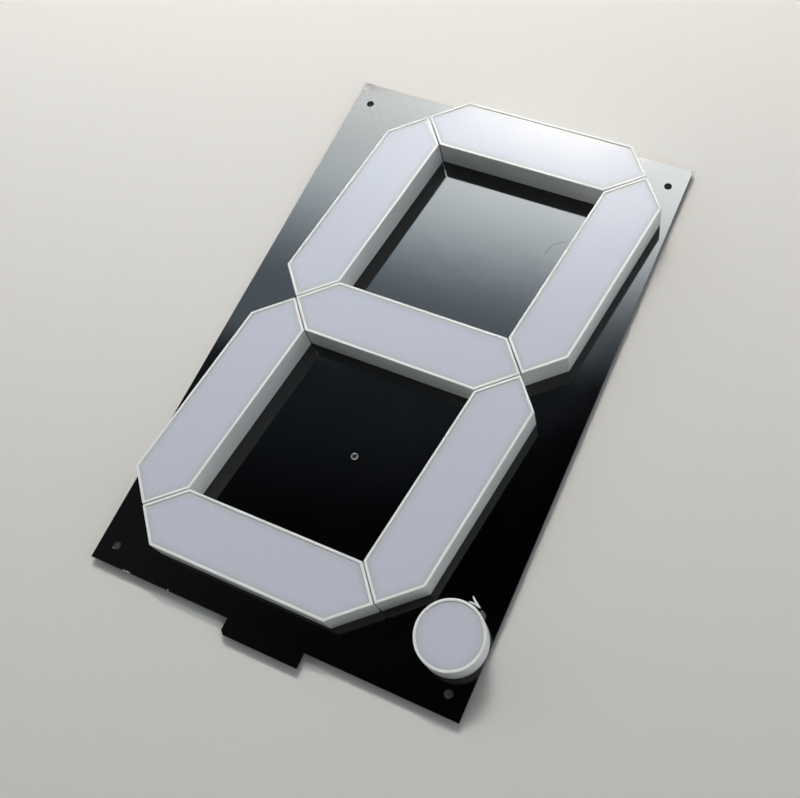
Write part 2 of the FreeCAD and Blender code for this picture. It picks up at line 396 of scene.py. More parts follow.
def dust_specks(tree, place):
    """Small specks of dust, in a few cells of a scattered pattern."""
    speck_radius = 0.022
    clean_share = 0.8
    cells = add(tree, "ShaderNodeTexVoronoi", {"Vector": place, "Scale": 130}).outputs
    chance = add(tree, "ShaderNodeSeparateColor", {0: cells["Color"]}).outputs[0]
    speck = calculate(tree, "LESS_THAN", cells["Distance"], speck_radius)
    return calculate(tree, "MULTIPLY", speck, calculate(tree, "GREATER_THAN", chance, clean_share))


def curved_scratch(tree, place, settings):
    """The thin arc in the upper window, open towards the lower right."""
    half_width = 0.35 * MM
    open_way = math.radians(-35)
    centre = window_hole + Vector((settings.scratch_right, settings.scratch_above, 0))
    arc = band(tree, distance_to(tree, place, centre.x, centre.y), settings.scratch_radius, half_width)
    way = -Vector((math.cos(open_way), math.sin(open_way), 0))
    reach = add(tree, "ShaderNodeVectorMath", {0: place, 1: way}, operation="DOT_PRODUCT")
    reach = calculate(tree, "SUBTRACT", reach.outputs["Value"], centre.dot(way))
    drawn_side = ramp(tree, reach, 0.45 * settings.scratch_radius, 0.8 * settings.scratch_radius)
    return calculate(tree, "MULTIPLY", arc, drawn_side)


def corner_streaks(tree, place):
    """Streaks that fan out from the top left corner and fade away from it."""
    fade_start = 10 * MM
    fade_end = 45 * MM
    patches_along = 25
    parts = axes(tree, place)
    x = calculate(tree, "SUBTRACT", parts["X"], board_low.x)
    y = calculate(tree, "SUBTRACT", parts["Y"], board_high.y)
    turn = calculate(tree, "ARCTAN2", y, x)
    far = distance_to(tree, place, board_low.x, board_high.y)
    along = calculate(tree, "MULTIPLY", far, patches_along)
    polar = add(tree, "ShaderNodeCombineXYZ", {"X": turn, "Y": along}).outputs[0]
    faded = ramp(tree, far, fade_start, fade_end, 1.0, 0.0)
    return calculate(tree, "MULTIPLY", noise(tree, polar, 9), faded)


def board_material(settings):
    """Glossy black solder mask on the faces and raw laminate on the cut edges."""
    dust_colour = (0.4, 0.4, 0.38)
    dust_cover = 0.35
    scratch_strength = 0.7
    smudge_roughness = 0.035
    worn_roughness = 0.55
    material, tree, surface, place = new_material("board_mask", IOR=1.7)
    upright = upwards(tree)
    face = ramp(tree, calculate(tree, "ABSOLUTE", upright), 0.3, 0.6)
    front = ramp(tree, upright, 0.3, 0.6)
    cut = calculate(tree, "SUBTRACT", 1.0, face)
    laminate = varied(tree, noise(tree, place, 900, detail=4), settings.laminate_colour, 0.7, 1.25)
    smudge = noise(tree, place, 22, detail=5, distortion=0.6)
    speck = dust_specks(tree, place)
    # The pale marks: the ragged ring round the small hole and the chips on the bottom edge.
    bare = calculate(
        tree, "MAXIMUM", ragged_ring(tree, place, settings), chipped_edge(tree, place, settings)
    )
    scratch = curved_scratch(tree, place, settings)
    scratch = calculate(tree, "MULTIPLY", scratch, front, scratch_strength)
    mask = varied(tree, ramp(tree, smudge, 0.3, 0.8), settings.mask_colour, 1.0, 1.6)
    mask = blend(tree, calculate(tree, "MULTIPLY", speck, dust_cover), mask, dust_colour)
    # On the long chip the pale colour is partly a painted highlight of a glint on the edge.
    mask = blend(tree, bare, mask, settings.pale_mark_colour)
    dullest = settings.roughness + smudge_roughness
    polish = ramp(tree, smudge, 0.35, 0.75, settings.roughness, dullest)
    worn = calculate(tree, "MAXIMUM", speck, bare, scratch, cut)
    worn = calculate(tree, "MULTIPLY", worn, worn_roughness)
    waves = bump(tree, noise(tree, place, 45), 0.03 * MM)
    waves = bump(tree, corner_streaks(tree, place), 0.07 * MM, strength=front, normal=waves)
    waves = bump(tree, noise(tree, place, 160, detail=2), 0.004 * MM, normal=waves)
    fibre = noise(tree, place, 1500, detail=2)
    use(tree, surface, {
        "Base Color": blend(tree, face, laminate, mask),
        "Roughness": calculate(tree, "ADD", polish, worn),
        "Normal": bump(tree, fibre, 0.02 * MM, strength=cut, normal=waves),
    })
    return material


def shell_material(settings):
    """Satin white moulded plastic with a fine grain and a little handling dirt, painted lighter on its
    upward faces as painted light.
    """
    dirt_tint = (0.93, 0.93, 0.88)
    dirt_cover = 0.8
    material, tree, surface, place = new_material("shell_plastic", IOR=1.47, Subsurface_Weight=0.06)
    # Painted light: faces that look up take the lighter top colour, and upright walls keep the plain
    # plastic colour as painted shade.
    white = blend(
        tree, ramp(tree, upwards(tree), 0.2, 0.8), settings.plastic_colour, settings.lit_top_colour
    )
    stain = ramp(tree, noise(tree, place, 45, detail=5, distortion=0.4), 0.45, 0.8)
    stain = calculate(tree, "MULTIPLY", stain, dirt_cover)
    dirty = [part * tint for part, tint in zip(settings.plastic_colour, dirt_tint)]
    grain = bump(tree, noise(tree, place, 2600, detail=2), 0.012 * MM)
    waves = noise(tree, place, 120, detail=2)
    use(tree, surface, {
        "Subsurface Radius": (0.9, 0.85, 0.8),
        "Subsurface Scale": 0.8 * MM,
        "Base Color": blend(tree, stain, white, dirty),
        "Roughness": ramp(tree, noise(tree, place, 90), 0.3, 0.7, 0.36, 0.46),
        "Normal": bump(tree, waves, 0.02 * MM, normal=grain),
    })
    return material


def diffuser_material(settings):
    """Smooth milky plastic, with painted shade along the rim and the gentle waves of a moulded face."""
    material, tree, surface, place = new_material("milky_plastic", IOR=1.5, Subsurface_Weight=0.12)
    # Painted shade: each diffuser turns greyer towards its rim, by the rim_share attribute.
    edge = add(tree, "ShaderNodeAttribute", attribute_name="rim_share").outputs["Fac"]
    milk = varied(tree, noise(tree, place, 28), settings.milk_colour, 0.985, 1.015)
    rubbed = noise(tree, stretched(tree, place, (60, 170, 60)), 1, detail=5, distortion=0.8)
    smoothest, roughest = settings.roughness - 0.04, settings.roughness + 0.05
    waves = bump(tree, noise(tree, place, 38, detail=2, distortion=0.5), 0.2 * MM)
    grain = noise(tree, place, 900, detail=2)
    use(tree, surface, {
        "Specular IOR Level": 0.23,
        "Subsurface Radius": (0.8, 0.9, 1.0),
        "Subsurface Scale": 1.2 * MM,
        "Base Color": blend(tree, edge, milk, settings.rim_shade_colour),
        "Roughness": ramp(tree, rubbed, 0.3, 0.7, smoothest, roughest),
        "Normal": bump(tree, grain, 0.001 * MM, normal=waves),
    })
    return material


def led_material(settings):
    """Clear epoxy lenses, unlit."""
    material, tree, surface, place = new_material(
        "led_epoxy", IOR=1.54, Roughness=0.08, Transmission_Weight=0.75
    )
    tint = noise(tree, place, 500, detail=2)
    use(tree, surface, {"Base Color": varied(tree, tint, settings.epoxy_colour, 0.94, 1.0)})
    return material


def solder_material(settings):
    """Bright tin solder with a slightly frosted skin."""
    material, tree, surface, place = new_material("tin_solder", Metallic=1.0)
    frost = noise(tree, place, 1400, detail=4)
    use(tree, surface, {
        "Base Color": varied(tree, frost, settings.tin_colour, 0.88, 1.1),
        "Roughness": ramp(tree, frost, 0.3, 0.7, 0.2, 0.38),
        "Normal": bump(tree, noise(tree, place, 2500), 0.02 * MM),
    })
    return material


def finger_material(settings):
    """Thin gold plate, rubbed along the direction of insertion."""
    material, tree, surface, place = new_material("gold_plate", Metallic=1.0)
    rub = noise(tree, stretched(tree, place, (9000, 300, 300)), 1)
    use(tree, surface, {
        "Base Color": varied(tree, rub, settings.gold_colour, 0.88, 1.1),
        "Roughness": ramp(tree, rub, 0.3, 0.7, 0.18, 0.34),
    })
    return material


def resistor_material(settings):
    """Glazed chip bodies."""
    material, tree, surface, place = new_material("chip_glaze", IOR=1.5)
    speckle = noise(tree, place, 4000, detail=2)
    use(tree, surface, {
        "Base Color": varied(tree, speckle, settings.glaze_colour, 0.6, 1.4),
        "Roughness": ramp(tree, speckle, 0.3, 0.7, 0.25, 0.4),
    })
    return material


def bead_material(settings):
    """Clear set glue."""
    material, tree, surface, place = new_material("clear_glue", IOR=1.48, Transmission_Weight=0.9)
    cloud = noise(tree, place, 700)
    use(tree, surface, {
        "Base Color": blend(tree, cloud, settings.cloudy_colour, settings.clear_colour),
        "Roughness": ramp(tree, cloud, 0.3, 0.8, 0.03, 0.12),
    })
    return material


def highlight_thread_material(settings):
    """Threads of clear set glue, painted white as a painted highlight."""
    material, tree, surface, place = new_material("glue_painted_highlight", IOR=1.5)
    cloud = noise(tree, place, 900)
    use(tree, surface, {
        "Base Color": varied(tree, cloud, settings.painted_highlight_colour, 0.92, 1.0),
        "Roughness": ramp(tree, cloud, 0.3, 0.8, 0.18, 0.35),
    })
    return material


def slanted(x, y):
    """A point of the upright digit, moved to its place on the board in italics."""
    return Vector((digit_centre.x + x + slant * y, digit_centre.y + y, 0))


class Segment:
    """The upright layout of one segment, read out in italics."""

    def __init__(self, letter, shells):
        (start_column, start_row), (end_column, end_row) = segment_ends[letter]
        self.shells = shells
        self.start = Vector((start_column * column_spacing / 2, start_row * row_spacing, 0))
        end = Vector((end_column * column_spacing / 2, end_row * row_spacing, 0))
        self.along = (end - self.start).normalized()
        self.across = Vector((-self.along.y, self.along.x, 0))
        self.near_tip = shells.mitre_gap / math.sqrt(2)
        self.far_tip = (end - self.start).length - self.near_tip

    def at(self, distance, offset):
        """The place at a distance along the centre line and an offset to its left."""
        place = self.start + self.along * distance + self.across * offset
        return slanted(place.x, place.y)

    def outline(self):
        """The six corners, anticlockwise from the first tip."""
        half = segment_width / 2
        return [
            self.at(self.near_tip, 0),
            self.at(self.near_tip + half, -half),
            self.at(self.far_tip - half, -half),
            self.at(self.far_tip, 0),
            self.at(self.far_tip - half, half),
            self.at(self.near_tip + half, half),
        ]

    def tabs(self, growth):
        """Corners of the four tabs, or of their slots when they grow by a clearance."""
        shells = self.shells
        to_tab = segment_width / 2 + shells.tab_from_corner + shells.tab_width / 2
        wall_middle = (segment_width - shells.wall) / 2
        half_width = shells.tab_width / 2 + growth
        half_thickness = shells.tab_thickness / 2 + growth
        return [
            [
                self.at(distance + along * half_width, offset + across * half_thickness)
                for along, across in SQUARE
            ]
            for distance in (self.near_tip + to_tab, self.far_tip - to_tab)
            for offset in (-wall_middle, wall_middle)
        ]

    def led_places(self, leds):
        """The LEDs, evenly spaced and staggered left and right of the centre line."""
        count = leds.per_segment
        first = self.near_tip + leds.from_tip
        pitch = (self.far_tip - leds.from_tip - first) / (count - 1)
        return [self.at(first + pitch * i, leds.stagger * (-1) ** i) for i in range(count)]


def point_tabs(shells, growth):
    """Corners of the point's two tabs, below and above its centre, or of their slots."""
    half_width = shells.tab_width / 2 + growth
    half_thickness = shells.tab_thickness / 2 + growth
    wall_middle = point_radius - shells.wall / 2
    tabs = []
    for side in (-1, 1):
        x, y = point_centre.x, point_centre.y + side * wall_middle
        tabs.append([Vector((x + i * half_width, y + j * half_thickness, 0)) for i, j in SQUARE])
    return tabs


def all_tabs(shells, growth):
    """Corners of the tabs of every shell, by name, or of their slots when they grow by a clearance."""
    tabs = {"point": point_tabs(shells, growth)}
    for letter in segment_ends:
        tabs[f"segment_{letter}"] = Segment(letter, shells).tabs(growth)
    return tabs


def inset(corners, distance):
    """A convex anticlockwise outline with every side moved inwards by the distance."""
    moved = []
    for i, corner in enumerate(corners):
        before = (corner - corners[i - 1]).normalized()
        after = (corners[(i + 1) % len(corners)] - corner).normalized()
        inwards_before = Vector((-before.y, before.x, 0))
        inwards_after = Vector((-after.y, after.x, 0))
        bisector = (inwards_before + inwards_after).normalized()
        moved.append(corner + bisector * (distance / bisector.dot(inwards_after)))
    return moved


def rounded(corners, radius, steps):
    """An outline with each corner as an arc of the radius, in so many steps."""
    points = []
    for i, corner in enumerate(corners):
        back = (corners[i - 1] - corner).normalized()
        ahead = (corners[(i + 1) % len(corners)] - corner).normalized()
        half_angle = back.angle(ahead) / 2
        centre = corner + (back + ahead).normalized() * (radius / math.sin(half_angle))
        first = corner + back * (radius / math.tan(half_angle)) - centre
        turn = math.pi - 2 * half_angle
        for step in range(steps + 1):
            points.append(centre + Matrix.Rotation(turn * step / steps, 3, "Z") @ first)
    return points


def segment_ring(corners, radius, steps=4):
    """A function that gives the segment's outline at a distance inwards and a height."""
    least_radius = 0.12 * MM

    def ring(distance, height):
        corner_radius = max(radius - distance, least_radius)
        points = rounded(inset(corners, distance), corner_radius, steps)
        return [Vector((p.x, p.y, height)) for p in points]

    return ring


def round_ring(centre, radius, sides=128):
    """A function that gives a circle at a distance inwards and a height."""

    def ring(distance, height):
        points = []
        for i in range(sides):
            turn = 2 * math.pi * i / sides
            x = centre.x + (radius - distance) * math.cos(turn)
            y = centre.y + (radius - distance) * math.sin(turn)
            points.append(Vector((x, y, height)))
        return points

    return ring


def all_rings(shells):
    """The outline of every shell, by name, as a function of distance inwards and height."""
    rings = {}
    for letter in segment_ends:
        outline = Segment(letter, shells).outline()
        rings[f"segment_{letter}"] = segment_ring(outline, shells.corner_radius)
    rings["point"] = round_ring(point_centre, point_radius)
    return rings


def fillet(distance, height, radius, start, end, steps=3):
    """Points of a small arc in a profile, round a centre and between two angles in degrees."""
    angles = [math.radians(start + (end - start) * i / steps) for i in range(steps + 1)]
    return [(distance + radius * math.cos(a), height + radius * math.sin(a)) for a in angles]


def loft(name, rings, joined=False):
    """A closed mesh over rings of points, with flat ends or joined from its last ring to its first."""
    mesh = bpy.data.meshes.new(name)
    shape = bmesh.new()
    loops = [[shape.verts.new(point) for point in ring] for ring in rings]
    pairs = list(zip(loops, loops[1:]))
    if joined:
        pairs.append((loops[-1], loops[0]))
    else:
        shape.faces.new(reversed(loops[0]))
        shape.faces.new(loops[-1])
    for low, high in pairs:
        for i in range(len(low)):
            j = (i + 1) % len(low)
            shape.faces.new((low[i], low[j], high[j], high[i]))
    bmesh.ops.recalc_face_normals(shape, faces=shape.faces)
    shape.to_mesh(mesh)
    shape.free()
    return mesh


def smooth(mesh, degrees=25):
    """Smooth shading where the faces meet at less than the angle."""
    mesh.shade_smooth()
    mesh.set_sharp_from_angle(angle=math.radians(degrees))


def face_outwards(mesh, gap=0):
    """Turns the faces outwards, after points nearer than the gap are merged."""
    shape = bmesh.new()
    shape.from_mesh(mesh)
    if gap:
        bmesh.ops.remove_doubles(shape, verts=shape.verts, dist=gap)
    bmesh.ops.recalc_face_normals(shape, faces=shape.faces)
    shape.to_mesh(mesh)
    shape.free()


def linked(name, data):
    """A new object in the scene."""
    piece = bpy.data.objects.new(name, data)
    bpy.context.scene.collection.objects.link(piece)
    return piece


def plain_mesh(piece):
    """The mesh that an object shows, with its modifiers applied."""
    bpy.context.view_layer.update()
    shown = piece.evaluated_get(bpy.context.evaluated_depsgraph_get())
    return bpy.data.meshes.new_from_object(shown)


def show(name, mesh, material):
    """A new object for a finished mesh."""
    mesh.name = name
    mesh.materials.clear()
    mesh.materials.append(material)
    return linked(name, mesh)


def seat(piece, node):
    """The piece rides on the part and stands for a node."""
    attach(piece, "root")
    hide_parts(node)


def combined(first, second, operation):
    """The mesh of two closed meshes added to or cut from each other."""
    base = linked("base", first)
    tool = linked("tool", second)
    modifier = base.modifiers.new("combined", "BOOLEAN")
    modifier.object = tool
    modifier.operation = operation
    modifier.solver = "EXACT"
    result = plain_mesh(base)
    for piece in (base, tool):
        bpy.data.objects.remove(piece)
    return result


def merged(meshes):
    """One mesh of several that don't touch."""
    shape = bmesh.new()
    for mesh in meshes:
        shape.from_mesh(mesh)
    result = bpy.data.meshes.new("merged")
    shape.to_mesh(result)
    shape.free()
    return result


def board_outline(board):
    """The corners of the board, anticlockwise from the top left."""
    left, right = board_low.x, board_high.x
    tongue_end = board_low.y
    bottom = tongue_end + board.tongue_length
    tongue_left = board.tongue_off_centre - board.tongue_width / 2
    tongue_right = board.tongue_off_centre + board.tongue_width / 2
    corners = [
        (left, board_high.y),
        (left, bottom),
        (tongue_left, bottom),
        (tongue_left, tongue_end + board.broken_corner),
        (tongue_left + board.broken_corner, tongue_end),
        (tongue_right, tongue_end),
        (tongue_right, bottom),
        (right, bottom),
        (right, board_high.y),
    ]
    return [Vector((x, y, 0)) for x, y in corners]


def board_holes(board):
    """Outlines of the round holes, each a circle of points."""
    sides = 64
    bottom = board_low.y + board.tongue_length
    x = board_high.x - board.hole_from_side
    upper = board_high.y - board.hole_from_top
    lower = bottom + board.hole_from_bottom
    centres = [Vector((side * x, y, 0)) for side in (-1, 1) for y in (lower, upper)]
    outlines = [round_ring(centre, board.hole_radius, sides)(0, 0) for centre in centres]
    outlines.append(round_ring(window_hole, board.window_hole_radius, sides)(0, 0))
    return outlines


def filled_plate(name, outlines, low, high, edge_radius):
    """A plate with holes between two heights, its edges slightly rounded."""
    curve = bpy.data.curves.new(name, "CURVE")
    curve.dimensions = "2D"
    curve.fill_mode = "BOTH"
    for outline in outlines:
        spline = curve.splines.new("POLY")
        spline.points.add(len(outline) - 1)
        for point, place in zip(spline.points, outline):
            point.co = (place.x, place.y, 0, 1)
        spline.use_cyclic_u = True
    curve.extrude = (high - low) / 2 - edge_radius
    curve.bevel_depth = edge_radius
    curve.bevel_resolution = 1
    curve.offset = -edge_radius
    piece = linked(name, curve)
    mesh = plain_mesh(piece)
    bpy.data.objects.remove(piece)
    mesh.transform(Matrix.Translation((0, 0, (low + high) / 2)))
    face_outwards(mesh, 0.0001 * MM)
    return mesh


def make_board(board, shells):
    """The circuit board with its holes, its slots and its tongue."""
    outlines = [board_outline(board)] + board_holes(board)
    for slots in all_tabs(shells, shells.tab_clearance).values():
        outlines += slots
    mesh = filled_plate("circuit_board", outlines, board_low.z, board_top, board.edge_radius)
    piece = show("circuit_board", mesh, board_material(board))
    seat(piece, "base_board")


def shell_rings(ring, shells):
    """The shell's section, carried round its outline: outer wall, rim, ledge and inner wall."""
    outer = shells.fillet
    inner = 0.7 * shells.fillet
    profile = [(0, board_top), (0, shell_top - outer)]
    profile += fillet(outer, shell_top - outer, outer, 180, 90)[1:]
    profile += fillet(shells.rim_width - inner, shell_top - inner, inner, 90, 0)
    profile += [(shells.rim_width, ledge_height), (shells.wall, ledge_height)]
    profile.append((shells.wall, board_top))
    return [ring(distance, height) for distance, height in profile]


def tab_blocks(outlines):
    """Small blocks from the tab ends up into the wall."""
    overlap = 0.4 * MM
    blocks = []
    for outline in outlines:
        ends = [[Vector((p.x, p.y, z)) for p in outline] for z in (tab_end, board_top + overlap)]
        blocks.append(loft("tab", ends))
    return merged(blocks)


def make_shells(shells):
    """The seven segment shells and the point's shell."""
    material = shell_material(shells)
    tabs = all_tabs(shells, 0)
    for name, ring in all_rings(shells).items():
        walls = loft(name, shell_rings(ring, shells), joined=True)
        mesh = combined(walls, tab_blocks(tabs[name]), "UNION")
        smooth(mesh)
        piece = show(f"{name}_frame", mesh, material)
        seat(piece, f"{name}_shell")


def diffuser_mesh(name, ring, shells, diffusers):
    """A milky cover with a rounded top edge, and how near each point of its face is to the rim, for the
    painted shade along the rim.
    """
    bands = 6
    fall_off = 1.5
    bevel = diffusers.bevel
    start = shells.rim_width + diffusers.clearance
    profile = [(start, ledge_height), (start, diffuser_top - bevel)]
    profile += fillet(start + bevel, diffuser_top - bevel, bevel, 180, 90)[1:]
    shares = [1.0] * len(profile)
    for i in range(1, bands + 1):
        profile.append((start + bevel + diffusers.rim_shade_band * i / bands, diffuser_top))
        shares.append((1 - i / bands) ** fall_off)
    rings = [ring(distance, height) for distance, height in profile]
    mesh = loft(name, rings)
    share = mesh.attributes.new("rim_share", "FLOAT", "POINT")
    values = [value for value, points in zip(shares, rings) for _ in points]
    share.data.foreach_set("value", values)
    return mesh


def make_diffusers(shells, diffusers):
    """The milky covers in the shells."""
    material = diffuser_material(diffusers)
    for name, ring in all_rings(shells).items():
        mesh = diffuser_mesh(name, ring, shells, diffusers)
        smooth(mesh)
        piece = show(f"{name}_cover", mesh, material)
        seat(piece, f"{name}_diffuser")


def new_tree(name, sizes):
    """An empty geometry tree with named inputs for its points, its material and its sizes."""
    tree = bpy.data.node_groups.new(name, "GeometryNodeTree")
    tree.interface.new_socket("Points", in_out="INPUT", socket_type="NodeSocketGeometry")
    tree.interface.new_socket("Material", in_out="INPUT", socket_type="NodeSocketMaterial")
    for label, value in sizes.items():
        kind = "NodeSocketInt" if isinstance(value, int) else "NodeSocketFloat"
        tree.interface.new_socket(label, in_out="INPUT", socket_type=kind)
    tree.interface.new_socket("Mesh", in_out="OUTPUT", socket_type="NodeSocketGeometry")
    return tree, add(tree, "NodeGroupInput").outputs


def end_tree(tree, given, shape):
    """Sets the shape on every point and ends the tree in real meshes with their material."""
    inputs = {"Points": given["Points"], "Instance": shape}
    spread = add(tree, "GeometryNodeInstanceOnPoints", inputs).outputs[0]
    real = add(tree, "GeometryNodeRealizeInstances", {0: spread}).outputs[0]
    inputs = {"Geometry": real, "Material": given["Material"]}
    add(tree, "NodeGroupOutput", {0: add(tree, "GeometryNodeSetMaterial", inputs).outputs[0]})


def turned_tree(name, sizes, profile):
    """A tree for turned shapes, whose profile pairs shares of the height and of the radius."""
    tree, given = new_tree(name, sizes)
    inputs = {"Vertices": given["Sides"], "Side Segments": given["Rings"]}
    inputs.update({"Radius": given["Radius"], "Depth": given["Height"]})
    drum = add(tree, "GeometryNodeMeshCylinder", inputs).outputs["Mesh"]
    parts = axes(tree, add(tree, "GeometryNodeInputPosition").outputs[0])
    share = calculate(tree, "ADD", calculate(tree, "DIVIDE", parts["Z"], given["Height"]), 0.5)
    curve = add(tree, "ShaderNodeFloatCurve", {"Value": share})
    points = curve.mapping.curves[0].points
    points[0].location = profile[0]
    points[1].location = profile[-1]
    for place in profile[1:-1]:
        points.new(*place)
    for point in points:
        point.handle_type = "VECTOR"
    curve.mapping.update()
    x, y = (calculate(tree, "MULTIPLY", parts[axis], curve.outputs[0]) for axis in "XY")
    moved = add(tree, "ShaderNodeCombineXYZ", {"X": x, "Y": y, "Z": parts["Z"]}).outputs[0]
    inputs = {"Geometry": drum, "Position": moved}
    end_tree(tree, given, add(tree, "GeometryNodeSetPosition", inputs).outputs[0])
    return tree


def plate_tree(name, sizes):
    """A tree for small plates with rounded corners, each standing up from its point."""
    tree, given = new_tree(name, sizes)
    inputs = {"Width": given["Width"], "Height": given["Length"]}
    outline = add(tree, "GeometryNodeCurvePrimitiveQuadrilateral", inputs).outputs[0]
    inputs = {"Curve": outline, "Radius": given["Corner radius"], "Count": given["Corner steps"]}
    outline = add(tree, "GeometryNodeFilletCurve", inputs, mode="POLY").outputs[0]
    foot = add(tree, "GeometryNodeFillCurve", {"Curve": outline}, mode="NGONS").outputs[0]
    inputs = {"Mesh": foot, "Offset Scale": given["Height"], "Individual": False}
    raised = add(tree, "GeometryNodeExtrudeMesh", inputs).outputs[0]
    joint = add(tree, "GeometryNodeJoinGeometry")
    for part in (raised, add(tree, "GeometryNodeFlipFaces", {"Mesh": foot}).outputs[0]):
        tree.links.new(part, joint.inputs[0])
    inputs = {"Geometry": joint.outputs[0], "Distance": 0.001 * MM}
    end_tree(tree, given, add(tree, "GeometryNodeMergeByDistance", inputs).outputs[0])
    return tree


def grown(tree, places, material, sizes):
    """The plain mesh that a tree makes on points at the places."""
    mesh = bpy.data.meshes.new(tree.name)
    mesh.from_pydata(places, [], [])
    piece = linked(tree.name, mesh)
    modifier = piece.modifiers.new(tree.name, "NODES")
    modifier.node_group = tree
    values = {"Material": material, **sizes}
    for socket in tree.interface.items_tree:
        if socket.name in values:
            modifier[socket.identifier] = values[socket.name]
    result = plain_mesh(piece)
    piece.modifiers.remove(modifier)
    bpy.data.objects.remove(piece)
    face_outwards(result)
    return result


def all_led_places(shells, leds):
    """The LEDs of each segment and of the point, by node."""
    places = {}
    for letter in segment_ends:
        places[f"segment_{letter}_leds"] = Segment(letter, shells).led_places(leds)
    half = leds.point_spacing / 2
    ways = [(x, y) for x in (-1, 1) for y in (-1, 1)]
    places["point_leds"] = [point_centre + Vector((x * half, y * half, 0)) for x, y in ways]
    return places


def make_leds(shells, leds):
    """The LEDs under the diffusers: a flange, a round body and a domed top."""
    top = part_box("segment_g_leds")[1].z
    sizes = {"Radius": leds.flange_radius, "Height": top - board_top, "Sides": 24, "Rings": 30}
    flange = [(0, 1), (0.16, 1)]
    body = [(0.17, 0.857), (0.73, 0.857)]
    dome = [(0.84, 0.78), (0.93, 0.58), (0.98, 0.34), (1, 0.1)]
    tree = turned_tree("leds", sizes, flange + body + dome)
    material = led_material(leds)
    for node, places in all_led_places(shells, leds).items():
        raised = [(p.x, p.y, (top + board_top) / 2) for p in places]
        mesh = grown(tree, raised, material, sizes)
        smooth(mesh, 35)
        seat(show(f"{node}_lenses", mesh, material), node)


def make_solder(shells, leds, solder):
    """The solder joints on the back: a hollow-sided cone round the stub of each leg."""
    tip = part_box("solder_joints")[0].z
    sizes = {"Radius": solder.foot_radius, "Height": board_low.z - tip, "Sides": 16, "Rings": 20}
    stub = [(0, 0.26), (0.03, 0.3), (0.22, 0.3)]
    cone = [(0.24, 0.4), (0.45, 0.48), (0.7, 0.62), (0.88, 0.82), (1, 1)]
    middle = (board_low.z + tip) / 2
    places = [
        (p.x + side * leds.leg_spacing / 2, p.y, middle)
        for group in all_led_places(shells, leds).values()
        for p in group
        for side in (-1, 1)
    ]
    material = solder_material(solder)
    mesh = grown(turned_tree("solder", sizes, stub + cone), places, material, sizes)
    smooth(mesh, 35)
    seat(show("solder_cones", mesh, material), "solder_joints")


def row(node, count, width):
    """The x of each of the like parts in a row, the y of their middle and the row's box."""
    low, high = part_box(node)
    first, last = low.x + width / 2, high.x - width / 2
    columns = [first + (last - first) * i / (count - 1) for i in range(count)]
    return columns, (low.y + high.y) / 2, low, high


def make_resistors(resistors, solder):
    """The chip resistors on the back: glazed bodies with tinned ends."""
    columns, y, low, high = row("series_resistors", resistors.count, resistors.width)
    body_share = 0.94
    lap = 0.1 * resistors.end_length
    sizes = {
        "Width": body_share * resistors.width,
        "Length": high.y - low.y - 2 * (resistors.end_length - lap),
        "Height": body_share * (high.z - low.z),
        "Corner radius": 0.05 * MM,
        "Corner steps": 3,
    }
    tree = plate_tree("resistors", sizes)
    material = resistor_material(resistors)
    mesh = grown(tree, [(x, y, high.z - sizes["Height"]) for x in columns], material, sizes)
    seat(show("resistor_bodies", mesh, material), "series_resistors")
    sizes.update({"Width": resistors.width, "Length": resistors.end_length, "Height": high.z - low.z})
    reach = (high.y - low.y - resistors.end_length) / 2
    ends = [(x, y + side * reach, low.z) for x in columns for side in (-1, 1)]
    material = solder_material(solder)
    mesh = grown(tree, ends, material, sizes)
    seat(show("resistor_ends", mesh, material), "series_resistors")


def make_contacts(contacts):
    """The gold-plated fingers on the back of the tongue."""
    columns, y, low, high = row("contact_fingers", contacts.count, contacts.width)
    sizes = {
        "Width": contacts.width,
        "Length": high.y - low.y,
        "Height": high.z - low.z,
        "Corner radius": contacts.corner_radius,
        "Corner steps": 6,
    }
    material = finger_material(contacts)
    mesh = grown(plate_tree("contacts", sizes), [(x, y, low.z) for x in columns], material, sizes)
    seat(show("gold_fingers", mesh, material), "contact_fingers")


def drop(centre, radius):
    """The mesh of a ball of glue."""
    mesh = bpy.data.meshes.new("drop")
    shape = bmesh.new()
    place = Matrix.Translation(centre)
    bmesh.ops.create_uvsphere(shape, u_segments=40, v_segments=24, radius=radius, matrix=place)
    shape.to_mesh(mesh)
    shape.free()
    return mesh


def thread(start, end, bow, width, height, steps=14):
    """A thin ridge of set glue between two places on the board, a little bowed and thin at its ends."""
    end_share = 0.3
    sides = 10
    along = (end - start).normalized()
    across = Vector((-along.y, along.x, 0))
    rings = []
    for i in range(steps + 1):
        swell = math.sin(math.pi * i / steps)
        middle = start.lerp(end, i / steps) + across * (bow * swell)
        size = end_share + (1 - end_share) * math.sqrt(max(swell, 0.0))
        ring = []
        for j in range(sides + 1):
            turn = math.pi * j / sides
            side = across * (math.cos(turn) * width * size / 2)
            ring.append(middle + side + Vector((0, 0, board_top + math.sin(turn) * height * size)))
        rings.append(ring)
    return loft("thread", rings)


